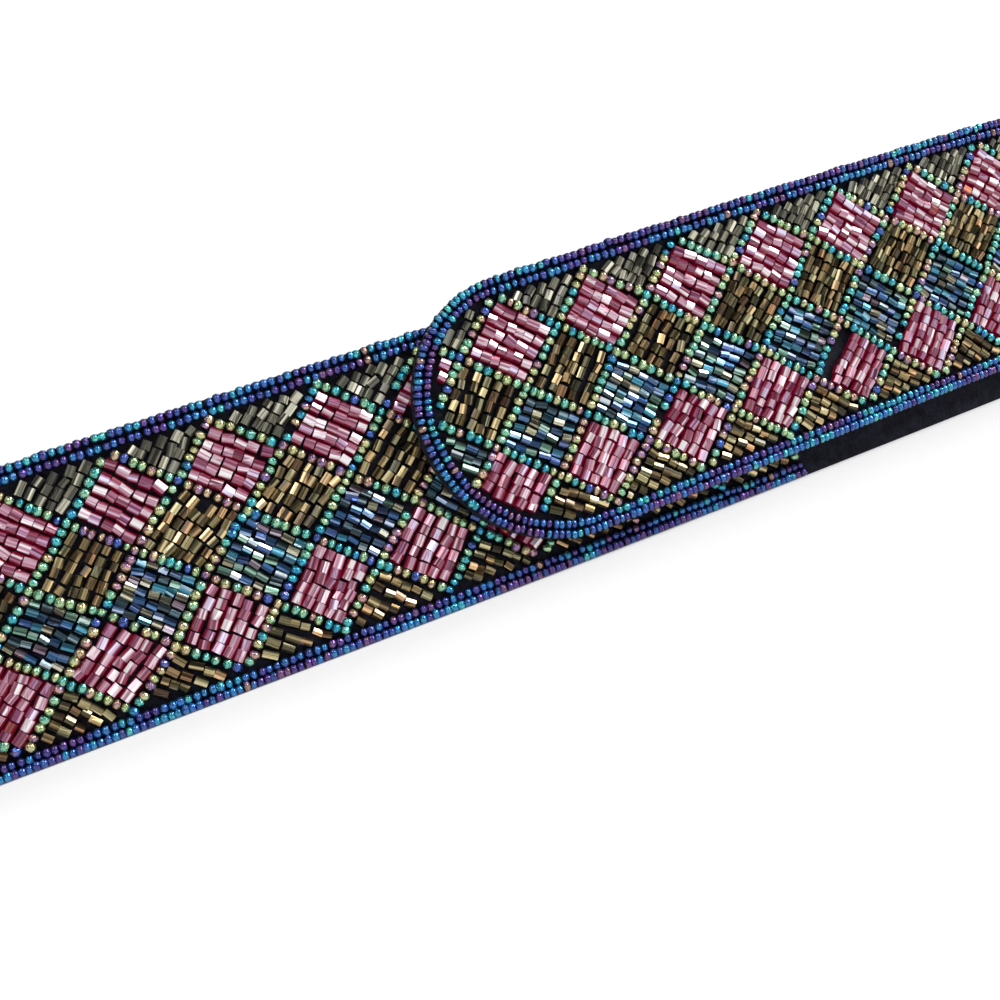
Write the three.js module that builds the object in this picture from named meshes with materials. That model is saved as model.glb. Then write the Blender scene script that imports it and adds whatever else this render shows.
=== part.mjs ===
// Beaded belt, fastened into a loop and standing on its lower edge.
// A band of black felt carries bead embroidery on its outer face. Two strings of seed beads follow
// its edges and round the tip of the flap. Between them lie rows of bugle beads sewn in diamonds,
// parted by zigzag strings of seed beads. The flap laps over the plain inner end of the band and
// holds on a hidden patch. Millimetres, +Z up, the flap in front at -Y, its tip towards -X.
//
// Every piece is laid out flat first and then bent round the loop. Its flat coordinates are along,
// from the tip of the flap to the inner end, up, from the lower edge, and out, from the middle of
// the felt towards the beads.

import * as THREE from 'three';

// The loop seen from above: a bowed front and back, joined by two round ends
const loopLength = 854.3;        // once round, along the middle of the felt
const faceLength = 266;          // the front, and the back, along its bow
const faceRadius = 1200;         // how little the front and the back bow

// The felt band
const beltWidth = 58;
const feltThickness = 2;
const tipPlace = -34;            // tip of the flap, from the middle of the front
const beadedLap = 83;            // how far the beads run on beneath the flap
const tabLength = 66;            // plain inner end, past the beads
const tipHeight = 31;            // foremost point of the round tip, above the lower edge
const tipUpperLength = 25;       // round of the tip, from its foremost point to the upper edge
const tipLowerLength = 31;       // the same to the lower edge

// How the flap lies: a little high where it fastens, then down to the floor
const tipRaise = 4.9;
const lapRaise = 6.6;
const settleLength = 170;        // length in which it comes down past the lap
const tuckLength = 120;          // length in which it comes inwards past the lap

// The beads
const edgeMargin = 0.4;          // bare felt outside the outer string
const edgeStringDiameter = 1.6;
const bugleThickness = 2;
const repeatLength = 22;         // one diamond, along the belt
const firstRepeat = 2.5;         // first crossing of the pattern, from the tip
const zigzagWidth = 2;           // a zigzag string's foot, measured up the belt
const zigzagCrown = 1.2;         // the same at its top
const neckHeight = 0.6;          // what joins two diamonds of a row at their corners

// The hidden patch between the flap and the plain inner end
const patchLength = 44;
const patchHeight = 36;
const patchInset = 8;            // from the end of the beads beneath the flap

const pieceGap = 0.3;            // between neighbouring pieces
const longestStep = 33;          // between two bends of the felt where it is nearly straight
const tipSteps = 8;              // facets of each half of the tip
const stringSides = 8;

// The rows from the upper edge down, with the look of their bugles
const bugleRows = [
  { name: 'bugle_row_grey_top', colour: '#6f6d5f', roughness: 0.25, metalness: 0.1 },
  { name: 'bugle_row_pink_upper', colour: '#b56a86', roughness: 0.25, metalness: 0.3 },
  { name: 'bugle_row_bronze_middle', colour: '#7c5f45', roughness: 0.3, metalness: 0.7 },
  { name: 'bugle_row_blue', colour: '#4b6a92', roughness: 0.3, metalness: 0.6 },
  { name: 'bugle_row_pink_lower', colour: '#b56a86', roughness: 0.25, metalness: 0.3 },
  { name: 'bugle_row_bronze_bottom', colour: '#80603d', roughness: 0.3, metalness: 0.7 },
];

const beadEnd = loopLength + beadedLap;
const bandEnd = beadEnd + tabLength;
const lapEnd = beadedLap + tabLength;
const beadFoot = feltThickness / 2 + pieceGap;
const layerPitch = feltThickness + 2 * pieceGap + bugleThickness;
const stringRadius = edgeStringDiameter / 2;
const outerInset = edgeMargin + stringRadius;
const innerInset = outerInset + edgeStringDiameter + pieceGap;
const fieldInset = innerInset + stringRadius + pieceGap;
const levelHeight = (beltWidth - 2 * fieldInset - neckHeight) / (bugleRows.length - 1);
const topLevel = beltWidth - fieldInset - neckHeight / 2;
const stringShift = neckHeight / 2 + pieceGap + zigzagWidth / 2;

const faceTurn = faceLength / 2 / faceRadius;
const endLength = loopLength / 2 - faceLength;
const endRadius = endLength / (Math.PI - 2 * faceTurn);
const faceCentre = (faceRadius - endRadius) * Math.cos(faceTurn);
const endCentre = (faceRadius - endRadius) * Math.sin(faceTurn);
const loopArcs = [
  { x: 0, y: faceCentre, radius: faceRadius, length: faceLength },
  { x: endCentre, y: 0, radius: endRadius, length: endLength },
  { x: 0, y: -faceCentre, radius: faceRadius, length: faceLength },
  { x: -endCentre, y: 0, radius: endRadius, length: endLength },
];

// Point of the loop and its outward direction, at a length from the middle of the front
function loopAt(place) {
  let rest = THREE.MathUtils.euclideanModulo(place + faceLength / 2, loopLength);
  let heading = -faceTurn;
  let arcNumber = 0;
  while (arcNumber < 3 && rest > loopArcs[arcNumber].length) {
    rest -= loopArcs[arcNumber].length;
    heading += loopArcs[arcNumber].length / loopArcs[arcNumber].radius;
    arcNumber += 1;
  }
  const arc = loopArcs[arcNumber];
  heading += rest / arc.radius;
  const outward = new THREE.Vector2(Math.sin(heading), -Math.cos(heading));
  const point = new THREE.Vector2(arc.x, arc.y).addScaledVector(outward, arc.radius);
  return { point, outward, heading };
}

// The flap lies one layer further out until its lap ends, and then tucks in
function layerOffset(along) {
  return layerPitch * (1 - THREE.MathUtils.smoothstep(along, lapEnd, lapEnd + tuckLength));
}

function raiseOfEdge(along) {
  const climb = THREE.MathUtils.lerp(tipRaise, lapRaise, Math.min(along / lapEnd, 1));
  return climb * (1 - THREE.MathUtils.smoothstep(along, lapEnd, lapEnd + settleLength));
}

// Flat coordinates of the belt to their place in the fastened loop
function bend(along, up, out) {
  const { point, outward } = loopAt(tipPlace + along);
  const away = layerOffset(along) + out;
  return new THREE.Vector3(
    point.x + outward.x * away,
    point.y + outward.y * away,
    up + raiseOfEdge(along),
  );
}

// Lower and upper limit of what keeps an inset from the edge, round the tip as well
function reachAt(along, inset) {
  const quarter = (length, height) => {
    const share = Math.min((along - inset) / (length - inset), 1);
    return share <= 0 ? 0 : (height - inset) * Math.sqrt(share * (2 - share));
  };
  return {
    low: tipHeight - quarter(tipLowerLength, tipHeight),
    high: tipHeight + quarter(tipUpperLength, beltWidth - tipHeight),
  };
}

// Stations along the belt: the pattern's crossings, and the facets of the tip between them
function patternStations() {
  const halfRepeat = repeatLength / 2;
  const found = [];
  for (let along = firstRepeat; along < beadEnd - 1; along += halfRepeat) {
    found.push(along);
  }
  for (let step = 1; step <= tipSteps; step += 1) {
    const along = tipLowerLength * (1 - Math.cos((step / tipSteps) * (Math.PI / 2)));
    if (found.every((other) => Math.abs(other - along) > 1)) {
      found.push(along);
    }
  }
  found.push(beadEnd);
  return found.sort((a, b) => a - b);
}

// Of these, the ones that plain strips need: close on the round ends, few on the long faces
function bandStations() {
  const all = patternStations();
  for (let along = beadEnd + longestStep; along < bandEnd - 1; along += longestStep) {
    all.push(along);
  }
  all.push(bandEnd);
  const smallTurn = longestStep / faceRadius;
  const kept = [all[0]];
  for (let number = 1; number < all.length - 1; number += 1) {
    const last = kept.at(-1);
    const next = all[number + 1];
    const turn = loopAt(tipPlace + next).heading - loopAt(tipPlace + last).heading;
    const bends = THREE.MathUtils.euclideanModulo(turn, 2 * Math.PI) > smallTurn + 1e-6;
    const onTip = all[number] <= tipLowerLength;
    if (bends || onTip || next - last > longestStep + 1e-6 || all[number] === beadEnd) {
      kept.push(all[number]);
    }
  }
  kept.push(bandEnd);
  return kept;
}

const fineStations = patternStations();
const plainStations = bandStations();

// A closed solid through sections that are rings of as many points each
function loft(sections) {
  const ring = sections[0].length;
  const points = sections.flat();
  const faces = [];
  for (let row = 0; row + 1 < sections.length; row += 1) {
    for (let side = 0; side < ring; side += 1) {
      const a = row * ring + side;
      const b = row * ring + ((side + 1) % ring);
      faces.push([a, b, b + ring], [a, b + ring, a + ring]);
    }
  }
  const lastRow = (sections.length - 1) * ring;
  for (let side = 1; side + 1 < ring; side += 1) {
    faces.push([0, side + 1, side], [lastRow, lastRow + side, lastRow + side + 1]);
  }
  const volume = faces.reduce(
    (sum, [a, b, c]) => sum + points[a].dot(points[b].clone().cross(points[c])),
    0,
  );
  const facingOut = volume < 0 ? faces.map(([a, b, c]) => [a, c, b]) : faces;
  const geometry = new THREE.BufferGeometry().setFromPoints(points);
  geometry.setIndex(facingOut.flat());
  geometry.computeVertexNormals();
  return geometry;
}

// A strip of the belt between two heights and two depths, through the given stations
function strip(stations, limitsAt, inner, outer) {
  return loft(stations.map((along) => {
    const { low, high } = limitsAt(along);
    return [
      bend(along, low, inner),
      bend(along, high, inner),
      bend(along, high, outer),
      bend(along, low, outer),
    ];
  }));
}

function feltBand() {
  const half = feltThickness / 2;
  return strip(plainStations, (along) => reachAt(along, 0), -half, half);
}

// The patch lies between the inner face of the flap and the outer face of the plain end
function closurePatch() {
  const from = beadedLap + patchInset;
  const middle = beltWidth / 2;
  const inside = plainStations.filter((along) => along > from && along < from + patchLength);
  const limits = { low: middle - patchHeight / 2, high: middle + patchHeight / 2 };
  const inner = feltThickness / 2 + pieceGap - layerPitch;
  const outer = -feltThickness / 2 - pieceGap;
  return strip([from, ...inside, from + patchLength], () => limits, inner, outer);
}

// A string of seed beads as a tube, from the inner end along the lower edge, round the tip and
// back along the upper edge
function edgeString(inset) {
  const runs = plainStations.filter((along) => along > tipLowerLength && along <= beadEnd);
  const upperRuns = plainStations.filter((along) => along > tipUpperLength && along <= beadEnd);
  const line = runs.reverse().map((along) => ({ along, up: inset, side: [0, -1] }));
  for (let step = -tipSteps; step <= tipSteps; step += 1) {
    const angle = (step / tipSteps) * (Math.PI / 2);
    const length = (step < 0 ? tipLowerLength : tipUpperLength) - inset;
    const height = (step < 0 ? tipHeight : beltWidth - tipHeight) - inset;
    const side = new THREE.Vector2(-Math.cos(angle) / length, Math.sin(angle) / height);
    line.push({
      along: inset + length * (1 - Math.cos(angle)),
      up: tipHeight + height * Math.sin(angle),
      side: side.normalize().toArray(),
    });
  }
  upperRuns.forEach((along) => line.push({ along, up: beltWidth - inset, side: [0, 1] }));
  return loft(line.map(({ along, up, side }) => {
    const section = [];
    for (let corner = 0; corner < stringSides; corner += 1) {
      const angle = ((corner + 0.5) / stringSides) * 2 * Math.PI;
      const aside = stringRadius * Math.cos(angle);
      const out = beadFoot + stringRadius * (1 + Math.sin(angle));
      section.push(bend(along + side[0] * aside, up + side[1] * aside, out));
    }
    return section;
  }));
}

// Height of a crossing of the pattern, counted in levels from the upper edge
function levelUp(level) {
  return topLevel - level * levelHeight;
}

// Middle of the zigzag string between two rows. It turns just short of each crossing, where the
// diamonds of a row join.
function zigzagUp(number, along) {
  const phase = THREE.MathUtils.euclideanModulo((along - firstRepeat) / (repeatLength / 2) - number, 2);
  const share = phase < 1 ? phase : 2 - phase;
  return THREE.MathUtils.lerp(levelUp(number) - stringShift, levelUp(number + 1) + stringShift, share);
}

// Stations of a piece of the field, from where it clears the round tip on
function stationsPastTip(clears) {
  const lastMiss = fineStations.findLastIndex((along) => !clears(along));
  return fineStations.slice(lastMiss + 1);
}

function zigzagString(number) {
  const half = zigzagWidth / 2;
  const stations = stationsPastTip((along) => {
    const reach = reachAt(along, fieldInset);
    const up = zigzagUp(number, along);
    return up - half > reach.low && up + half < reach.high;
  });
  return loft(stations.map((along) => {
    const up = zigzagUp(number, along);
    return [
      bend(along, up - half, beadFoot),
      bend(along, up + half, beadFoot),
      bend(along, up + zigzagCrown / 2, beadFoot + edgeStringDiameter),
      bend(along, up - zigzagCrown / 2, beadFoot + edgeStringDiameter),
    ];
  }));
}

// A row of bugle diamonds, held between the zigzag strings above and below it
function bugleRow(number) {
  const clearance = zigzagWidth / 2 + pieceGap;
  const limitsAt = (along) => {
    const reach = reachAt(along, fieldInset);
    const above = number === 0 ? reach.high : zigzagUp(number - 1, along) - clearance;
    const isLast = number === bugleRows.length - 1;
    const below = isLast ? reach.low : zigzagUp(number, along) + clearance;
    return { low: Math.max(below, reach.low), high: Math.min(above, reach.high) };
  };
  const stations = stationsPastTip((along) => {
    const { low, high } = limitsAt(along);
    return high - low > neckHeight * 0.99;
  });
  return strip(stations, limitsAt, beadFoot, beadFoot + bugleThickness);
}

const black = { colour: '#17171a', roughness: 0.95, metalness: 0 };
const blueIris = { colour: '#2f3f63', roughness: 0.25, metalness: 0.7 };
const greenIris = { colour: '#6f9488', roughness: 0.25, metalness: 0.6 };

function piece(name, geometry, { colour, roughness, metalness }) {
  const material = new THREE.MeshStandardMaterial({ color: colour, roughness, metalness });
  const mesh = new THREE.Mesh(geometry, material);
  mesh.name = name;
  return mesh;
}

const group = new THREE.Group();
group.add(piece('felt_band', feltBand(), black));
group.add(piece('closure_patch', closurePatch(), black));
group.add(piece('edge_string_outer', edgeString(outerInset), blueIris));
group.add(piece('edge_string_inner', edgeString(innerInset), blueIris));
bugleRows.forEach((row, number) => group.add(piece(row.name, bugleRow(number), row)));
for (let number = 0; number < bugleRows.length - 1; number += 1) {
  group.add(piece(`zigzag_string_${number + 1}`, zigzagString(number), greenIris));
}

// The origin lies on the floor, under the middle of the whole belt
const box = new THREE.Box3().setFromObject(group);
const middle = box.getCenter(new THREE.Vector3());
group.position.set(-middle.x, -middle.y, -box.min.z);

export default group;
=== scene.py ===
import math

import bpy
import numpy as np
from mathutils import Matrix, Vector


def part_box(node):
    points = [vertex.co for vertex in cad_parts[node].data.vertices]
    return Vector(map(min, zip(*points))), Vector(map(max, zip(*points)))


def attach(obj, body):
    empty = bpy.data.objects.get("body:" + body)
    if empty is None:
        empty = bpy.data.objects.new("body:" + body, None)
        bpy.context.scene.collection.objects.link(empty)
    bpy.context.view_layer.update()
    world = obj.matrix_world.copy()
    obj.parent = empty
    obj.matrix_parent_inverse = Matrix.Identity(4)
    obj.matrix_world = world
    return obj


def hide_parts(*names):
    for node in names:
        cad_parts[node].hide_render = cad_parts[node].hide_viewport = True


# A wide felt belt covered with seed beads and bugle beads, fastened into a loop and standing on its
# lower edge. The file follows the belt as it is made: the felt, its fastening patch, the edge strings,
# the lattice of seed beads and the bugle diamonds that fill it.
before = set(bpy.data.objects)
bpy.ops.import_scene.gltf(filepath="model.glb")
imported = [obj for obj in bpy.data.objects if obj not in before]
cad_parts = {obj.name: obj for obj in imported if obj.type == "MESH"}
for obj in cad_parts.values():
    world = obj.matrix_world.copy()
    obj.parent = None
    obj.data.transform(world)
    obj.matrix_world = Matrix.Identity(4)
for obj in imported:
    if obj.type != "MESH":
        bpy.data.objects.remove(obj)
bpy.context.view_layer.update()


# Camera
# It stands close to the front, a little left of the flap's tip and barely above the floor, tilted so
# that the belt climbs to the right across the picture.
camera_place = (-0.1015, -0.3260, 0.0240)
camera_yaw = math.radians(16.84)
camera_pitch = math.radians(-1.10)
camera_roll = math.radians(-19.74)

camera = bpy.data.objects.new("camera", bpy.data.cameras.new("camera"))
camera.data.sensor_width = 36.0
camera.data.lens = 47.2
camera.data.clip_start = 0.01
camera.matrix_world = (
    Matrix.Translation(camera_place)
    @ Matrix.Rotation(-camera_yaw, 4, "Z")
    @ Matrix.Rotation(math.pi / 2 + camera_pitch, 4, "X")
    @ Matrix.Rotation(camera_roll, 4, "Z")
)
bpy.context.scene.collection.objects.link(camera)
bpy.context.scene.camera = camera


# Felt band
# One strip of black wool felt, cut to shape with a round tip at the flap's end. It is laid out flat,
# along from the tip and up from the lower edge, and bent round the loop with the flap outside.
loop_length = 0.8543
face_length = 0.266
face_radius = 1.2
belt_width = 0.058
felt_thickness = 0.002
tip_place = -0.034
tip_height = 0.031
tip_upper_length = 0.025
tip_lower_length = 0.031
beaded_lap = 0.083
tab_length = 0.066
layer_pitch = 0.0046
tip_raise = 0.0049
lap_raise = 0.0066
settle_length = 0.170
tuck_length = 0.120
felt_steps = 460
felt_tip_steps = 24
felt_rows = 12
merge_distance = 0.00001
smooth_angle = math.radians(40)

bead_end = loop_length + beaded_lap
band_end = bead_end + tab_length
lap_end = beaded_lap + tab_length
face_turn = face_length / 2 / face_radius
end_length = loop_length / 2 - face_length
end_radius = end_length / (math.pi - 2 * face_turn)
face_centre = (face_radius - end_radius) * math.cos(face_turn)
end_centre = (face_radius - end_radius) * math.sin(face_turn)
arc_centres = np.array([(0, face_centre), (end_centre, 0), (0, -face_centre), (-end_centre, 0)])
arc_radii = np.array([face_radius, end_radius, face_radius, end_radius])
arc_lengths = np.array([face_length, end_length, face_length, end_length])
arc_ends = np.cumsum(arc_lengths)
loop_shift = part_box("felt_band")[1][1] - (face_radius - face_centre + felt_thickness / 2)


def smooth_step(value, low, high):
    share = np.clip((value - low) / (high - low), 0, 1)
    return share * share * (3 - 2 * share)


def bend(along, up, out):
    """Takes flat coordinates of the belt to their place in the fastened loop."""
    rest = np.mod(tip_place + along + face_length / 2, loop_length)
    arc = np.minimum(np.searchsorted(arc_ends, rest), 3)
    before = arc_ends[arc] - arc_lengths[arc]
    turns = np.concatenate(([0], np.cumsum(arc_lengths / arc_radii)))
    heading = turns[arc] - face_turn + (rest - before) / arc_radii[arc]
    outward = np.stack([np.sin(heading), -np.cos(heading)], axis=-1)
    away = layer_pitch * (1 - smooth_step(along, lap_end, lap_end + tuck_length)) + out
    level = arc_centres[arc] + outward * (arc_radii[arc] + away)[..., None]
    climb = tip_raise + (lap_raise - tip_raise) * np.minimum(along / lap_end, 1)
    climb = climb * (1 - smooth_step(along, lap_end, lap_end + settle_length))
    return np.stack([level[..., 0], level[..., 1] + loop_shift, up + climb], axis=-1)


def reach(along, inset):
    """Lower and upper limit of what keeps an inset from the cut edge, round the tip as well."""
    heights = []
    upper_height = belt_width - tip_height
    for length, height in ((tip_lower_length, tip_height), (tip_upper_length, upper_height)):
        share = np.clip((along - inset) / (length - inset), 0, 1)
        heights.append((height - inset) * np.sqrt(share * (2 - share)))
    return tip_height - heights[0], tip_height + heights[1]


def pick(obj):
    bpy.ops.object.select_all(action="DESELECT")
    obj.select_set(True)
    bpy.context.view_layer.objects.active = obj


def added(name):
    """The object that the last operator added, named."""
    obj = bpy.context.object
    obj.name = name
    obj.data.name = name
    return obj


def points_of(obj):
    flat = np.empty(len(obj.data.vertices) * 3)
    obj.data.vertices.foreach_get("co", flat)
    return flat.reshape(-1, 3)


def put_points(obj, points):
    obj.data.vertices.foreach_set("co", points.ravel())
    obj.data.update()


def thicken(obj, thickness):
    """Gives a sheet its thickness on both sides, after its doubles are merged."""
    pick(obj)
    bpy.ops.object.mode_set(mode="EDIT")
    bpy.ops.mesh.select_all(action="SELECT")
    bpy.ops.mesh.remove_doubles(threshold=merge_distance)
    bpy.ops.mesh.normals_make_consistent(inside=False)
    bpy.ops.object.mode_set(mode="OBJECT")
    wall = obj.modifiers.new("thickness", "SOLIDIFY")
    wall.thickness = thickness
    wall.offset = 0
    bpy.ops.object.modifier_apply(modifier=wall.name)
    bpy.ops.object.shade_smooth_by_angle(angle=smooth_angle)


def linear(hex_colour):
    """An sRGB colour such as #17171a as linear red, green, blue and alpha."""
    parts = [int(hex_colour[i : i + 2], 16) / 255 for i in (1, 3, 5)]
    return [c / 12.92 if c <= 0.04045 else ((c + 0.055) / 1.055) ** 2.4 for c in parts] + [1.0]


def new_material(name):
    material = bpy.data.materials.new(name)
    material.use_nodes = True
    return material


def add_node(material, kind, inputs=None, stops=(), banded=False, **settings):
    """Adds a node with its settings. An input is a value, or the socket that is linked to it.

    The stops of a colour ramp are pairs of a position and a hex colour. They blend into each other,
    unless the ramp is banded.
    """
    node = material.node_tree.nodes.new(kind)
    for key, value in settings.items():
        setattr(node, key, value)
    for key, value in (inputs or {}).items():
        if isinstance(value, bpy.types.NodeSocket):
            material.node_tree.links.new(value, node.inputs[key])
        else:
            node.inputs[key].default_value = value
    if stops:
        node.color_ramp.interpolation = "CONSTANT" if banded else "LINEAR"
        elements = node.color_ramp.elements
        while len(elements) < len(stops):
            elements.new(0.5)
        for element, (position, colour) in zip(elements, stops):
            element.position = position
            element.color = linear(colour)
    return node


def surface(material, inputs):
    """Sets and links the inputs of the material's own shader."""
    shader = material.node_tree.nodes["Principled BSDF"]
    for key, value in inputs.items():
        if isinstance(value, bpy.types.NodeSocket):
            material.node_tree.links.new(value, shader.inputs[key])
        else:
            shader.inputs[key].default_value = value


def settle(obj, slot, material, *nodes):
    """Gives a finished piece its material and its body, and hides the CAD nodes that it stands for;
    the slot is not used.
    """
    obj.data.materials.clear()
    obj.data.materials.append(material)
    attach(obj, "root")
    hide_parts(*nodes)


# Pressed wool felt: short black fibres lying every way, matt and bluish black, with small paler
# tufts. Single fibres are too fine to show, so they are drawn as tangles of 0.7 mm
fibre_tangle = 0.000714
felt_tuft = 0.00238
fibre_depth = 0.0003
wool_felt = new_material("wool_felt_black")
felt_place = add_node(wool_felt, "ShaderNodeTexCoord").outputs["Object"]
felt_fibre = add_node(
    wool_felt, "ShaderNodeTexNoise", {"Vector": felt_place, "Scale": 1 / fibre_tangle, "Detail": 4.0}
)
felt_cloud = add_node(
    wool_felt, "ShaderNodeTexNoise", {"Vector": felt_place, "Scale": 1 / felt_tuft, "Detail": 2.0}
)
felt_mix = add_node(
    wool_felt,
    "ShaderNodeMath",
    {0: felt_fibre.outputs["Fac"], 1: felt_cloud.outputs["Fac"]},
    operation="MULTIPLY",
)
felt_colour = add_node(
    wool_felt,
    "ShaderNodeValToRGB",
    {"Fac": felt_mix.outputs["Value"]},
    stops=[(0.1, "#101018"), (0.45, "#2c2c3a")],
)
felt_bump = add_node(
    wool_felt,
    "ShaderNodeBump",
    {"Height": felt_fibre.outputs["Fac"], "Strength": 0.5, "Distance": fibre_depth},
)
surface(
    wool_felt,
    {
        "Base Color": felt_colour.outputs["Color"],
        "Roughness": 0.95,
        "Specular IOR Level": 0.2,
        "Normal": felt_bump.outputs["Normal"],
    },
)

bpy.ops.mesh.primitive_grid_add(x_subdivisions=felt_steps, y_subdivisions=felt_rows, size=1.0)
felt = added("felt_band_cloth")
felt_points = points_of(felt)
felt_step = (felt_points[:, 0] + 0.5) * felt_steps
round_share = np.clip(felt_step / felt_tip_steps, 0, 1)
straight_share = np.clip((felt_step - felt_tip_steps) / (felt_steps - felt_tip_steps), 0, 1)
felt_along = tip_lower_length * (1 - np.cos(round_share * math.pi / 2))
felt_along += straight_share * (band_end - tip_lower_length)
felt_low, felt_high = reach(felt_along, 0)
felt_up = felt_low + (felt_high - felt_low) * (felt_points[:, 1] + 0.5)
put_points(felt, bend(felt_along, felt_up, np.zeros(len(felt_up))))
thicken(felt, felt_thickness)
settle(felt, "black_felt", wool_felt, "felt_band")


# Fastening patch
# A plain woven patch with a soft pile, sewn between the inner face of the flap and the outer face of
# the plain end, where it can't be seen from the front.
patch_length = 0.044
patch_height = 0.036
patch_offset = 0.008
patch_from = beaded_lap + patch_offset
patch_gap = 0.0003
patch_thickness = layer_pitch - felt_thickness - 2 * patch_gap
patch_steps = 20
patch_rows = 8

# Woven nylon tape: black threads 0.9 mm apart, a little shinier than the felt. A wave texture of
# scale 1 repeats every tenth of pi
thread_spacing = 0.0009
thread_depth = 0.0002
nylon_tape = new_material("woven_nylon_tape_black")
tape_place = add_node(nylon_tape, "ShaderNodeTexCoord").outputs["Object"]
tape_weave = add_node(
    nylon_tape,
    "ShaderNodeTexWave",
    {"Vector": tape_place, "Scale": math.pi / 10 / thread_spacing, "Distortion": 1.0},
    bands_direction="Z",
)
tape_colour = add_node(
    nylon_tape,
    "ShaderNodeValToRGB",
    {"Fac": tape_weave.outputs["Fac"]},
    stops=[(0.0, "#0b0b0d"), (1.0, "#222226")],
)
tape_bump = add_node(
    nylon_tape,
    "ShaderNodeBump",
    {"Height": tape_weave.outputs["Fac"], "Strength": 0.4, "Distance": thread_depth},
)
surface(
    nylon_tape,
    {
        "Base Color": tape_colour.outputs["Color"],
        "Roughness": 0.7,
        "Normal": tape_bump.outputs["Normal"],
    },
)

bpy.ops.mesh.primitive_grid_add(x_subdivisions=patch_steps, y_subdivisions=patch_rows, size=1.0)
patch = added("fastening_patch")
patch_points = points_of(patch)
patch_along = patch_from + (patch_points[:, 0] + 0.5) * patch_length
patch_up = belt_width / 2 + patch_points[:, 1] * patch_height
put_points(patch, bend(patch_along, patch_up, np.full(len(patch_up), -layer_pitch / 2)))
thicken(patch, patch_thickness)
settle(patch, "patch_fabric", nylon_tape, "closure_patch")


# Edge strings of seed beads
# Two strings of round glass beads with a blue and purple iris coating are sewn side by side along
# both edges of the felt and round the flap's tip, up to where the plain end begins.
edge_insets = (0.00082, 0.00285)
edge_bead_radius = 0.00104
edge_pitch = 0.00166
tip_pitch = 0.00140
edge_bead_fill = 0.94
edge_drift_span = 5
edge_odd_share = 0.018
edge_shift = 0.00008
edge_length_spread = 0.06
edge_radius_spread = 0.05
thread_slack = 0.04
felt_face = felt_thickness / 2
bead_tilt = math.radians(3)
bead_swing = math.radians(3.5)
bead_lift = 0.00015
side_share = 0.65
streak_starts = 20


def taken(bead):
    """The points and faces of a model bead, which is then removed."""
    points = points_of(bead)
    faces = np.array([list(face.vertices) for face in bead.data.polygons])
    bpy.data.objects.remove(bead)
    return points, faces


def round_bead():
    """One seed bead of length 1 and radius 1 with its hole along X, as points and faces."""
    wall = 0.34
    bpy.ops.mesh.primitive_torus_add(
        major_segments=10,
        minor_segments=5,
        major_radius=1 - wall,
        minor_radius=wall,
        rotation=(0, math.pi / 2, 0),
    )
    bead = added("seed_bead")
    pick(bead)
    bpy.ops.object.transform_apply(location=False, rotation=True, scale=False)
    bpy.ops.object.mode_set(mode="EDIT")
    bpy.ops.mesh.select_all(action="SELECT")
    bpy.ops.transform.resize(value=(0.5 / wall, 1, 1))
    bpy.ops.object.mode_set(mode="OBJECT")
    return taken(bead)


def sew(name, bead, spots, smooth, seed):
    """Joins a copy of the bead at every spot into one piece and bends it round the loop.

    A spot has its place along and up, the heading of its hole, its length, radius and tint.
    Each point is marked with its bead's tint, how high it lies on the bead and how far round the
    hole. Each face is marked with a shade, partly its own and partly its bead's.
    """
    chance = np.random.default_rng(seed)
    along, up, heading, length, radius, tint = np.array(spots).T
    points, faces = bead
    count = len(along)
    roll = chance.uniform(0, 2 * math.pi, count)[:, None]
    tilt = chance.normal(0, bead_tilt, count)[:, None]
    heading = (heading + chance.normal(0, bead_swing, count))[:, None]
    lift = chance.uniform(0, bead_lift, count)[:, None]
    lengthwise = points[:, 0] * length[:, None]
    sideways = (points[:, 1] * np.cos(roll) - points[:, 2] * np.sin(roll)) * radius[:, None]
    outward = (points[:, 1] * np.sin(roll) + points[:, 2] * np.cos(roll)) * radius[:, None]
    tipped = lengthwise * np.cos(tilt) - outward * np.sin(tilt)
    raised = lengthwise * np.sin(tilt) + outward * np.cos(tilt) + radius[:, None] + lift
    flat_along = along[:, None] + tipped * np.cos(heading) - sideways * np.sin(heading)
    flat_up = up[:, None] + tipped * np.sin(heading) + sideways * np.cos(heading)
    placed = bend(flat_along.ravel(), flat_up.ravel(), felt_face + raised.ravel())
    corners = (faces[None] + np.arange(count)[:, None, None] * len(points)).reshape(-1, 4)
    mesh = bpy.data.meshes.new(name)
    mesh.from_pydata(placed.tolist(), [], corners.tolist())
    height = raised / (2 * radius[:, None])
    turn = np.arctan2(points[:, 2], points[:, 1]) / (2 * math.pi)
    bead_shade = np.repeat(chance.uniform(0, 1, count), len(faces))
    shade = side_share * chance.uniform(0, 1, len(corners)) + (1 - side_share) * bead_shade
    streak_start = streak_starts * chance.uniform(0, 1, count)[:, None]
    marks = {
        "tint": ("POINT", np.repeat(tint, len(points))),
        "height": ("POINT", height.ravel()),
        "around": ("POINT", (turn + streak_start).ravel()),
        "shade": ("FACE", shade),
    }
    for key, (domain, values) in marks.items():
        mark = mesh.attributes.new(key, "FLOAT", domain)
        mark.data.foreach_set("value", values.astype(np.float32))
    mesh.polygons.foreach_set("use_smooth", np.full(len(corners), smooth))
    obj = bpy.data.objects.new(name, mesh)
    bpy.context.scene.collection.objects.link(obj)
    return obj


# The sockets of a Mix node that take two colours, and the one that gives their mix
colour_a, colour_b, colour_mix = 6, 7, 2


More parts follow.
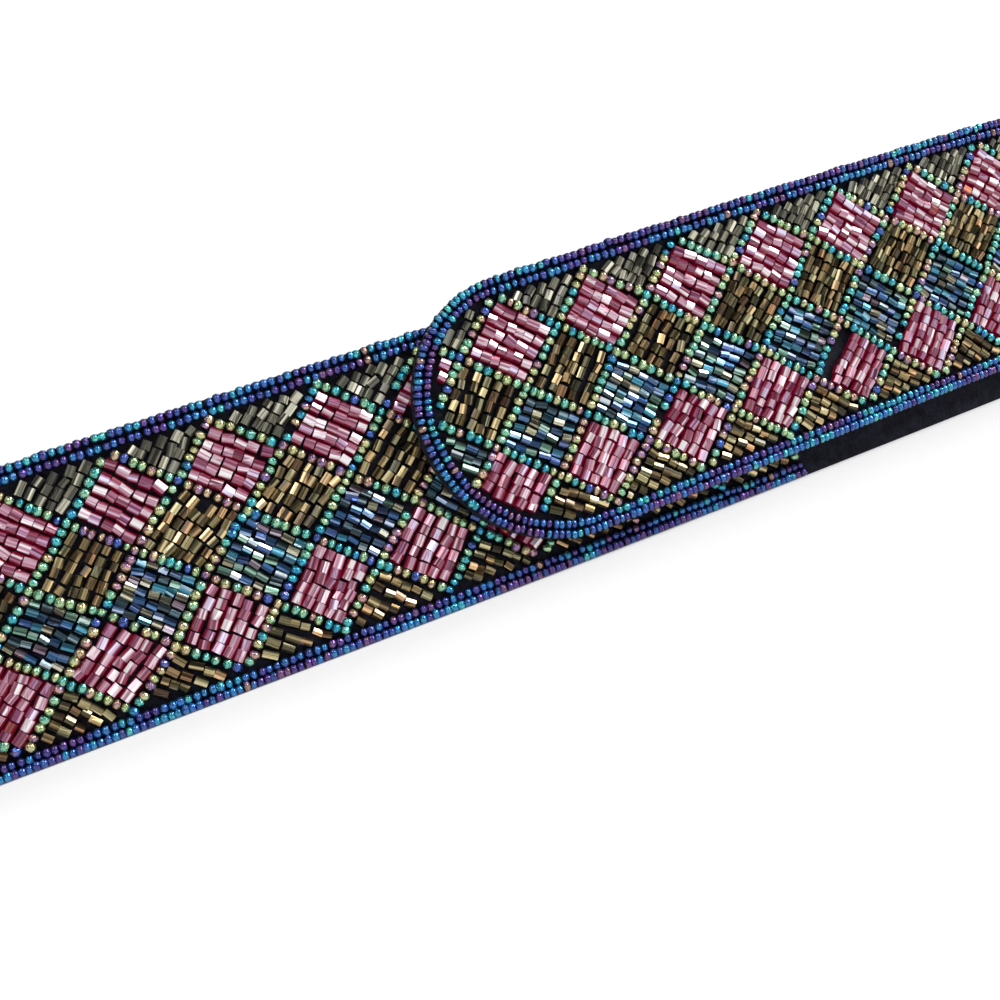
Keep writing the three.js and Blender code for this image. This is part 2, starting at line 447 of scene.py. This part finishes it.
def gap_shaded(material, colour, deep, low, high):
    """A colour with painted shade: it turns to a deep one where a bead goes down into its gap."""
    height = add_node(material, "ShaderNodeAttribute", attribute_name="height")
    share = add_node(
        material,
        "ShaderNodeMapRange",
        {"Value": height.outputs["Fac"], "From Min": low, "From Max": high},
        interpolation_type="SMOOTHSTEP",
    )
    mixed = add_node(
        material,
        "ShaderNodeMix",
        {"Factor": share.outputs["Result"], colour_a: linear(deep), colour_b: colour},
        data_type="RGBA",
    )
    return mixed.outputs[colour_mix]


def film(material, cloud_size, spread):
    """Place in an iris coating's range of colours: its bead's tint, which drifts in clouds."""
    place = add_node(material, "ShaderNodeTexCoord").outputs["Object"]
    cloud = add_node(
        material, "ShaderNodeTexNoise", {"Vector": place, "Scale": 1 / cloud_size, "Detail": 1.0}
    )
    shift = add_node(
        material,
        "ShaderNodeMapRange",
        {
            "Value": cloud.outputs["Fac"],
            "From Min": 0.3,
            "From Max": 0.7,
            "To Min": -spread,
            "To Max": spread,
        },
    )
    tint = add_node(material, "ShaderNodeAttribute", attribute_name="tint")
    total = add_node(
        material,
        "ShaderNodeMath",
        {0: tint.outputs["Fac"], 1: shift.outputs["Result"]},
        operation="ADD",
    )
    return total.outputs["Value"]


def speckled(material, dent_size, depth):
    """Normals of small dents and burrs in a coated bead, which sparkle as specks."""
    place = add_node(material, "ShaderNodeTexCoord").outputs["Object"]
    dents = add_node(
        material, "ShaderNodeTexNoise", {"Vector": place, "Scale": 1 / dent_size, "Detail": 1.0}
    )
    bump = add_node(
        material,
        "ShaderNodeBump",
        {"Height": dents.outputs["Fac"], "Strength": 1.0, "Distance": depth},
    )
    return bump.outputs["Normal"]


# Glass with a blue iris coating: a metal film whose colour runs from teal through blue to purple,
# with painted shade that turns it navy to black down in the gaps. Its colours drift in clouds of 1.1
# mm
film_cloud = 0.00111
film_spread = 0.12
blue_iris = new_material("iris_coated_glass_blue")
blue_iris_colour = add_node(
    blue_iris,
    "ShaderNodeValToRGB",
    {"Fac": film(blue_iris, film_cloud, film_spread)},
    stops=[
        (0.0, "#5cc8bc"),
        (0.10, "#3898b8"),
        (0.28, "#3878bc"),
        (0.45, "#3c549c"),
        (0.60, "#483c84"),
        (0.75, "#644484"),
        (0.90, "#7c5880"),
        (0.97, "#a08074"),
    ],
)
surface(
    blue_iris,
    {
        "Base Color": gap_shaded(
            blue_iris, blue_iris_colour.outputs["Color"], "#0c1048", 0.42, 0.92
        ),
        "Metallic": 0.85,
        "Roughness": 0.2,
        "Coat Weight": 0.5,
        "Coat Roughness": 0.06,
        "Normal": speckled(blue_iris, 0.0005, 0.00018),
    },
)


def edge_line(inset):
    """Flat points along an edge string: lower edge, tip and upper edge, closely spaced."""
    angle = np.linspace(-math.pi / 2, math.pi / 2, num=200)
    lower = angle < 0
    length = np.where(lower, tip_lower_length, tip_upper_length) - inset
    height = np.where(lower, tip_height, belt_width - tip_height) - inset
    along = inset + length * (1 - np.cos(angle))
    tip = np.stack([along, tip_height + height * np.sin(angle)], axis=1)
    return np.concatenate([[(bead_end, inset)], tip, [(bead_end, belt_width - inset)]])


def spaced(line, chance):
    """Places and headings of beads threaded along an edge line, a little closer round the tip."""
    steps = np.linalg.norm(np.diff(line, axis=0), axis=1)
    pitch = np.where(line[1:, 0] < tip_lower_length, tip_pitch, edge_pitch)
    reached = np.concatenate([[0], np.cumsum(steps / pitch)])
    count = int(reached[-1])
    at = (np.arange(count) + 0.5) * reached[-1] / count + chance.normal(0, thread_slack, count)
    quarter_bead = 0.25
    place = np.stack([np.interp(at, reached, line[:, i]) for i in (0, 1)], axis=1)
    beyond = np.stack([np.interp(at + quarter_bead, reached, line[:, i]) for i in (0, 1)], axis=1)
    turn = np.arctan2(*(beyond - place).T[::-1])
    return place, turn


def drift(count, chance, span, odd_share):
    """Tints from 0.04 to 0.84 that stay alike for a few beads on end, and 1 for a few odd beads."""
    turning_points = count // span + 2
    slow = np.interp(
        np.arange(count) / span, np.arange(turning_points), chance.uniform(0, 1, turning_points)
    )
    own_spread = 0.22
    values = slow + chance.normal(0, own_spread, count)
    lowest, width = 0.04, 0.8
    values = lowest + width * np.abs(1 - np.mod(values + 1, 2))
    return np.where(chance.uniform(0, 1, count) < odd_share, 1, values)


seed_bead = round_bead()
for number, node in enumerate(("edge_string_outer", "edge_string_inner")):
    chance = np.random.default_rng(11 + number)
    place, turn = spaced(edge_line(edge_insets[number]), chance)
    count = len(turn)
    place += chance.normal(0, edge_shift, place.shape)
    pitch = np.where(place[:, 0] < tip_lower_length, tip_pitch, edge_pitch)
    length = pitch * edge_bead_fill
    length *= chance.normal(1, edge_length_spread, count)
    radius = edge_bead_radius * chance.normal(1, edge_radius_spread, count)
    place[:, 1] = np.maximum(place[:, 1], radius)
    tint = drift(count, chance, edge_drift_span, edge_odd_share)
    spots = np.column_stack([place, turn, length, radius, tint])
    name = ("outer", "inner")[number] + "_edge_seed_beads"
    beads = sew(name, seed_bead, spots, smooth=True, seed=21 + number)
    settle(beads, "blue_iris_beads", blue_iris, node)


# Lattice of seed beads
# Round glass beads with a green iris coating, a little larger, are sewn in single slanting lines
# that cross and part the field into diamonds. Each piece is the zigzag between two rows of bugles.
field_inset = 0.0039
crossing_pitch = 0.011
first_crossing = 0.0025
row_count = 6
edge_clearance = 0.0003
top_level = belt_width - field_inset - edge_clearance
level_height = (2 * top_level - belt_width) / (row_count - 1)
lattice_radius = 0.00122
lattice_fill = 0.9
lattice_shift = 0.00012
lattice_inset = field_inset + edge_clearance
lattice_size_spread = 0.06
lattice_sizes = (0.84, 1.04)
lattice_drift_span = 2
lattice_odd_share = 0.04
eight_bead_share = 0.5
lost_bead_share = 0.006
end_clearance = 0.0008
crossing_spread = 0.0004
crossing_reach = 0.0008
crossing_count = int((bead_end - first_crossing) / crossing_pitch) + 2
chance = np.random.default_rng(30)
crossing_shifts = chance.normal(0, crossing_spread, (crossing_count + 4, row_count + 2, 2))
crossing_shifts = np.clip(crossing_shifts, -crossing_reach, crossing_reach)

# Glass with a green iris coating: the same film, thicker, so that it runs from turquoise through
# mint and yellow green to bronze and rose, with painted shade that turns it dark green on the sides
green_iris = new_material("iris_coated_glass_green")
green_iris_colour = add_node(
    green_iris,
    "ShaderNodeValToRGB",
    {"Fac": film(green_iris, film_cloud, film_spread)},
    stops=[
        (0.0, "#3470b4"),
        (0.12, "#2ca4bc"),
        (0.26, "#68c0b0"),
        (0.42, "#9ccca0"),
        (0.56, "#c4cc90"),
        (0.67, "#ccb48c"),
        (0.76, "#bc8c90"),
        (0.85, "#9070a4"),
        (0.96, "#3c5cac"),
    ],
)
surface(
    green_iris,
    {
        "Base Color": gap_shaded(
            green_iris, green_iris_colour.outputs["Color"], "#05180f", 0.56, 0.97
        ),
        "Metallic": 0.85,
        "Roughness": 0.18,
        "Coat Weight": 0.5,
        "Coat Roughness": 0.06,
        "Normal": speckled(green_iris, 0.0006, 0.00026),
    },
)


def crossing(column, level):
    """Flat place of a crossing of the lattice, a little off its regular place."""
    regular = np.array([first_crossing + column * crossing_pitch, top_level - level * level_height])
    return regular + crossing_shifts[column + 2, level + 1]


def inside(spot, inset):
    """Whether a place keeps an inset from the cut edge and ends before the plain end."""
    low, high = reach(spot[0], inset)
    return low <= spot[1] <= high and inset <= spot[0] <= bead_end - end_clearance


for number in range(row_count - 1):
    chance = np.random.default_rng(31 + number)
    spots = []
    for column in range(-1, crossing_count):
        falls = (column - number) % 2 == 0
        start = crossing(column, number if falls else number + 1)
        stop = crossing(column + 1, number + 1 if falls else number)
        first = 0 if falls or number == row_count - 2 else 1
        count = 8 if chance.uniform() < eight_bead_share else 7
        for step in range(first, count):
            spot = start + (stop - start) * step / count + chance.normal(0, lattice_shift, 2)
            if inside(spot, lattice_inset) and chance.uniform() > lost_bead_share:
                turn = math.atan2(stop[1] - start[1], stop[0] - start[0])
                size = np.clip(chance.normal(1, lattice_size_spread), *lattice_sizes)
                length = lattice_fill * np.hypot(*(stop - start)) / count
                spots.append((*spot, turn, length * size, lattice_radius * size, 0.0))
    spots = np.array(spots)
    spots[:, 5] = drift(len(spots), chance, lattice_drift_span, lattice_odd_share)
    name = f"lattice_seed_beads_{number + 1}"
    beads = sew(name, seed_bead, spots, smooth=True, seed=41 + number)
    settle(beads, "green_iris_beads", green_iris, f"zigzag_string_{number + 1}")


# Bugle diamonds
# Short cut glass tubes with eight flat sides, sewn side by side in strings that run along one side
# of their diamond. Each row of diamonds has its own colour, from grey at the upper edge to bronze.
diamond_margin = 0.075
string_slant = 0.025
most_slant = 0.04
string_shift = 0.05
shortest_string = 0.55
bugle_shift = 0.00014
bugle_swing = math.radians(4)
bugle_width_spread = 0.05
bugle_widths = (0.86, 1.04)
mean_lengths = (0.95, 1.08)
length_shares = (0.82, 1.18)
bugle_inset_share = 0.5
lost_bugle_share = 0.001
bare_strip = np.array([(0.0925, 0.0128), (0.1012, 0.0207)])
bare_reach = 0.0013


def bugle_bead():
    """One bugle bead of length 1 and radius 1 with its hole along X, as points and faces."""
    bpy.ops.mesh.primitive_cylinder_add(
        vertices=8, radius=1.0, depth=1.0, rotation=(0, math.pi / 2, 0)
    )
    bugle = added("bugle_bead")
    pick(bugle)
    bpy.ops.object.transform_apply(location=False, rotation=True, scale=False)
    bpy.ops.object.mode_set(mode="EDIT")
    bpy.ops.mesh.select_mode(type="FACE")
    bpy.ops.mesh.select_all(action="DESELECT")
    bpy.ops.object.mode_set(mode="OBJECT")
    for face in bugle.data.polygons:
        face.select = abs(face.normal.x) > 0.9
    bpy.ops.object.mode_set(mode="EDIT")
    bpy.ops.mesh.inset(thickness=0.5)
    bpy.ops.mesh.bridge_edge_loops()
    bpy.ops.mesh.select_all(action="SELECT")
    bpy.ops.mesh.normals_make_consistent(inside=False)
    bpy.ops.object.mode_set(mode="OBJECT")
    return taken(bugle)


def is_bare(spot):
    """Whether a place lies in the strip of the flap where one string of bugles has come off."""
    run = bare_strip[1] - bare_strip[0]
    share = np.clip(np.dot(spot - bare_strip[0], run) / np.dot(run, run), 0, 1)
    return np.hypot(*(spot - bare_strip[0] - share * run)) < bare_reach


def diamond_spots(sides, string_count, length, radius, fill, chance):
    """Spots of one diamond's bugles, strung from its first side to its second.

    The bugles keep clear of the edge strings, and fill a share of their string between the limits.
    """
    spots = []
    slant = np.clip(chance.normal(0, string_slant), -most_slant, most_slant)
    for string in range(string_count):
        share = (string + 0.5 + chance.normal(0, string_shift)) / string_count
        across = diamond_margin + (1 - 2 * diamond_margin) * share
        start = sides[0][0] + (sides[0][1] - sides[0][0]) * (across + slant)
        stop = sides[1][0] + (sides[1][1] - sides[1][0]) * (across - slant)
        steps = np.linspace(diamond_margin, 1 - diamond_margin, num=64)[:, None]
        samples = start + (stop - start) * steps
        kept = [spot for spot in samples if inside(spot, field_inset + bugle_inset_share * radius)]
        if not kept or np.hypot(*(kept[-1] - kept[0])) < shortest_string * length:
            continue
        run = kept[-1] - kept[0]
        room = np.hypot(*run)
        count = max(1, round(room / (length * chance.uniform(*mean_lengths))))
        shares = chance.uniform(*length_shares, count)
        ends = np.concatenate([[0], np.cumsum(shares / shares.sum())])
        for begin, end in zip(ends[:-1], ends[1:]):
            spot = kept[0] + run * (begin + end) / 2 + chance.normal(0, bugle_shift, 2)
            turn = math.atan2(run[1], run[0]) + chance.normal(0, bugle_swing)
            wide = radius * np.clip(chance.normal(1, bugle_width_spread), *bugle_widths)
            bugle_length = room * (end - begin) * chance.uniform(*fill)
            if chance.uniform() > lost_bugle_share and not is_bare(spot):
                spots.append((*spot, turn, bugle_length, wide, chance.uniform()))
    return spots


def shade_and_highlight_streaks(material, streak_count, strength):
    """Brightness from 0 to 1 on a drawn tube: a random shade for each side, with painted highlight
    streaks along it.

    A tube is 5.5 to 7.6 mm round, so that 8 or 9 streaks are 0.7 to 0.85 mm wide each.
    """
    around = add_node(material, "ShaderNodeAttribute", attribute_name="around")
    streak = add_node(
        material,
        "ShaderNodeTexNoise",
        {"W": around.outputs["Fac"], "Scale": streak_count, "Detail": 2.0},
        noise_dimensions="1D",
    )
    shade = add_node(material, "ShaderNodeAttribute", attribute_name="shade")
    both = add_node(
        material,
        "ShaderNodeMath",
        {0: streak.outputs["Fac"], 1: strength, 2: shade.outputs["Fac"]},
        operation="MULTIPLY_ADD",
    )
    low = strength / 2
    level = add_node(
        material,
        "ShaderNodeMapRange",
        {"Value": both.outputs["Value"], "From Min": low, "From Max": 1 + low},
    )
    return level.outputs["Result"]


# Smoked glass: grey olive tubes that let light through, dark with a few painted highlight streaks and
# painted shade down in the gaps
smoked_glass = new_material("smoked_glass_grey_olive")
smoked_shade = add_node(
    smoked_glass,
    "ShaderNodeValToRGB",
    {"Fac": shade_and_highlight_streaks(smoked_glass, 8, 1.2)},
    stops=[(0.1, "#20201a"), (0.4, "#4c4b40"), (0.65, "#807e6c"), (0.9, "#e0dcc4")],
)
surface(
    smoked_glass,
    {
        "Base Color": gap_shaded(
            smoked_glass, smoked_shade.outputs["Color"], "#080806", 0.30, 0.80
        ),
        "Metallic": 0.4,
        "Roughness": 0.2,
        "Coat Weight": 0.6,
        "Coat Roughness": 0.05,
    },
)

# Cranberry glass with a lustre: a clear deep red glass under a pearly film. Painted highlight streaks
# shine from mauve to nearly white on the sides that face out, and painted shade and a painted glow
# turn it crimson down in the gaps
cranberry_glass = new_material("lustred_glass_cranberry")
cranberry_shade = add_node(
    cranberry_glass,
    "ShaderNodeValToRGB",
    {"Fac": shade_and_highlight_streaks(cranberry_glass, 9, 1.3)},
    stops=[(0.08, "#68203c"), (0.34, "#a05874"), (0.60, "#d0a4b8"), (0.84, "#fffafc")],
)
cranberry_tint = add_node(cranberry_glass, "ShaderNodeAttribute", attribute_name="tint")
cranberry_cast = add_node(
    cranberry_glass,
    "ShaderNodeValToRGB",
    {"Fac": cranberry_tint.outputs["Fac"]},
    stops=[(0.0, "#ffffff"), (0.75, "#ece8ff"), (0.99, "#ffa878")],
    banded=True,
)
cranberry_colour = add_node(
    cranberry_glass,
    "ShaderNodeMix",
    {
        "Factor": 1.0,
        colour_a: cranberry_shade.outputs["Color"],
        colour_b: cranberry_cast.outputs["Color"],
    },
    data_type="RGBA",
    blend_type="MULTIPLY",
)
cranberry_height = add_node(cranberry_glass, "ShaderNodeAttribute", attribute_name="height")
# Painted glow: the crimson emission is strongest low on each bead, down in the gaps, and fades out
# towards its top
cranberry_painted_glow = add_node(
    cranberry_glass,
    "ShaderNodeMapRange",
    {
        "Value": cranberry_height.outputs["Fac"],
        "From Min": 0.50,
        "From Max": 0.90,
        "To Min": 0.14,
        "To Max": 0.0,
    },
)
surface(
    cranberry_glass,
    {
        "Base Color": gap_shaded(
            cranberry_glass, cranberry_colour.outputs[colour_mix], "#84082a", 0.79, 0.97
        ),
        "Metallic": 0.35,
        "Roughness": 0.18,
        "Coat Weight": 0.8,
        "Coat Roughness": 0.05,
        "Emission Color": linear("#b0104a"),
        "Emission Strength": cranberry_painted_glow.outputs["Result"],
    },
)

# Bronze coated glass: a brown metal film, brighter on some sides with random shades and painted
# highlight streaks, and black in the gaps from painted shade
bronze_glass = new_material("bronze_coated_glass")
bronze_shade = add_node(
    bronze_glass,
    "ShaderNodeValToRGB",
    {"Fac": shade_and_highlight_streaks(bronze_glass, 8, 1.2)},
    stops=[(0.1, "#2c2820"), (0.4, "#645c4c"), (0.65, "#b0a48c"), (0.9, "#fff4e0")],
)
bronze_tint = add_node(bronze_glass, "ShaderNodeAttribute", attribute_name="tint")
bronze_cast = add_node(
    bronze_glass,
    "ShaderNodeValToRGB",
    {"Fac": bronze_tint.outputs["Fac"]},
    stops=[(0.0, "#ccd4b4"), (0.45, "#e8dcb4"), (0.8, "#f0d4ac"), (1.0, "#f0c09c")],
)
bronze_colour = add_node(
    bronze_glass,
    "ShaderNodeMix",
    {
        "Factor": 1.0,
        colour_a: bronze_shade.outputs["Color"],
        colour_b: bronze_cast.outputs["Color"],
    },
    data_type="RGBA",
    blend_type="MULTIPLY",
)
surface(
    bronze_glass,
    {
        "Base Color": gap_shaded(
            bronze_glass, bronze_colour.outputs[colour_mix], "#080604", 0.40, 0.94
        ),
        "Metallic": 0.8,
        "Roughness": 0.22,
        "Coat Weight": 0.4,
        "Coat Roughness": 0.05,
    },
)

# Glass with a blue iris coating in short tubes: each tube has its own colour of the film, with painted
# highlight streaks that turn nearly white and painted shade in the gaps
iris_tubes = new_material("iris_coated_tubes_blue")
iris_tube_tint = add_node(iris_tubes, "ShaderNodeAttribute", attribute_name="tint")
iris_tube_colour = add_node(
    iris_tubes,
    "ShaderNodeValToRGB",
    {"Fac": iris_tube_tint.outputs["Fac"]},
    stops=[
        (0.0, "#587c88"),
        (0.18, "#4488cc"),
        (0.36, "#54bcdc"),
        (0.54, "#7098cc"),
        (0.62, "#e4dcb4"),
        (0.74, "#98d4b4"),
        (0.88, "#b89cb0"),
        (0.93, "#5078c4"),
    ],
    banded=True,
)
iris_tube_streaks = shade_and_highlight_streaks(iris_tubes, 8, 1.4)
iris_tube_shade = add_node(
    iris_tubes,
    "ShaderNodeValToRGB",
    {"Fac": iris_tube_streaks},
    stops=[(0.1, "#303034"), (0.4, "#8c8c90"), (0.65, "#d0d0d4"), (0.9, "#ffffff")],
)
iris_tube_dull = add_node(
    iris_tubes,
    "ShaderNodeMix",
    {
        "Factor": 1.0,
        colour_a: iris_tube_colour.outputs["Color"],
        colour_b: iris_tube_shade.outputs["Color"],
    },
    data_type="RGBA",
    blend_type="MULTIPLY",
)
# Painted highlight: the brightest streaks blend towards a near white glint
iris_tube_glint = add_node(
    iris_tubes,
    "ShaderNodeMapRange",
    {"Value": iris_tube_streaks, "From Min": 0.65, "From Max": 1.0, "To Max": 0.6},
)
iris_tube_bright = add_node(
    iris_tubes,
    "ShaderNodeMix",
    {
        "Factor": iris_tube_glint.outputs["Result"],
        colour_a: iris_tube_dull.outputs[colour_mix],
        colour_b: linear("#f4f8ff"),
    },
    data_type="RGBA",
)
surface(
    iris_tubes,
    {
        "Base Color": gap_shaded(
            iris_tubes, iris_tube_bright.outputs[colour_mix], "#04060f", 0.35, 0.85
        ),
        "Metallic": 0.8,
        "Roughness": 0.2,
        "Coat Weight": 0.5,
        "Coat Roughness": 0.05,
    },
)

# Each row's name and glass, the fewest and most strings in a diamond, the length and radius of a
# bugle, and the least and most of its string that it fills
loose = (0.82, 0.94)
close = (0.86, 0.96)
bugle_rows = [
    dict(name="grey_top", glass=smoked_glass, strings=(6, 6), size=(0.0025, 0.00098), fill=loose),
    dict(name="pink_upper", glass=cranberry_glass, strings=(5, 5), size=(0.0024, 0.00121), fill=close),
    dict(name="bronze_middle", glass=bronze_glass, strings=(5, 6), size=(0.0024, 0.00098), fill=loose),
    dict(name="blue", glass=iris_tubes, strings=(6, 7), size=(0.0025, 0.00088), fill=loose),
    dict(name="pink_lower", glass=cranberry_glass, strings=(5, 5), size=(0.0024, 0.00121), fill=close),
    dict(name="bronze_bottom", glass=bronze_glass, strings=(5, 6), size=(0.0024, 0.00096), fill=loose),
]
bugle = bugle_bead()
for number, row in enumerate(bugle_rows):
    chance = np.random.default_rng(51 + number)
    spots = []
    for column in range(-1, crossing_count + 1):
        if (column - number) % 2 == 1:
            left, right = crossing(column - 1, number), crossing(column + 1, number)
            top, bottom = crossing(column, number - 1), crossing(column, number + 1)
            falling = ((left, bottom), (top, right))
            climbing = ((top, left), (right, bottom))
            sides = falling if number % 2 == 0 else climbing
            string_count = int(chance.integers(row["strings"][0], row["strings"][1] + 1))
            spots += diamond_spots(sides, string_count, *row["size"], row["fill"], chance)
    beads = sew(f"{row['name']}_bugles", bugle, spots, smooth=False, seed=61 + number)
    slot = f"{row['name'].split('_')[0]}_bugles"
    settle(beads, slot, row["glass"], f"bugle_row_{row['name']}")


# Floor and light
# A plain white table that carries on past the view, a pale room, a broad lamp from the right of the
# front, and weaker ones from its left and from behind.
bpy.ops.mesh.primitive_plane_add(size=40.0, location=(0, 0, 0))
floor = added("floor")
white_table = new_material("painted_table_white")
surface(
    white_table,
    {
        "Base Color": linear("#e8e8e8"),
        "Roughness": 0.9,
        "Emission Color": linear("#ffffff"),
        "Emission Strength": 0.25,
    },
)
floor.data.materials.append(white_table)

# The room is white where it is seen, and dimmer as a light
world = bpy.data.worlds.new("studio")
world.use_nodes = True
room = world.node_tree.nodes["Background"]
room.inputs["Color"].default_value = linear("#ffffff")
seen = add_node(world, "ShaderNodeLightPath").outputs["Is Camera Ray"]
room_strength = add_node(world, "ShaderNodeMapRange", {"Value": seen, "To Min": 0.27, "To Max": 1.1})
world.node_tree.links.new(room_strength.outputs["Result"], room.inputs["Strength"])
bpy.context.scene.world = world
bpy.context.scene.view_settings.view_transform = "Standard"

# Each lamp's width, its tilt from overhead and its turn round the belt are in degrees
lamp_rows = [
    dict(name="right_lamp", strength=2.7, width=26, tilt=59, turn=61),
    dict(name="left_lamp", strength=0.75, width=28, tilt=48, turn=-24),
    dict(name="back_lamp", strength=0.8, width=60, tilt=50, turn=150),
]
for row in lamp_rows:
    lamp = bpy.data.objects.new(row["name"], bpy.data.lights.new(row["name"], "SUN"))
    lamp.data.energy = row["strength"]
    lamp.data.angle = math.radians(row["width"])
    turned = Matrix.Rotation(math.radians(row["turn"]), 4, "Z")
    lamp.matrix_world = turned @ Matrix.Rotation(math.radians(row["tilt"]), 4, "X")
    bpy.context.scene.collection.objects.link(lamp)
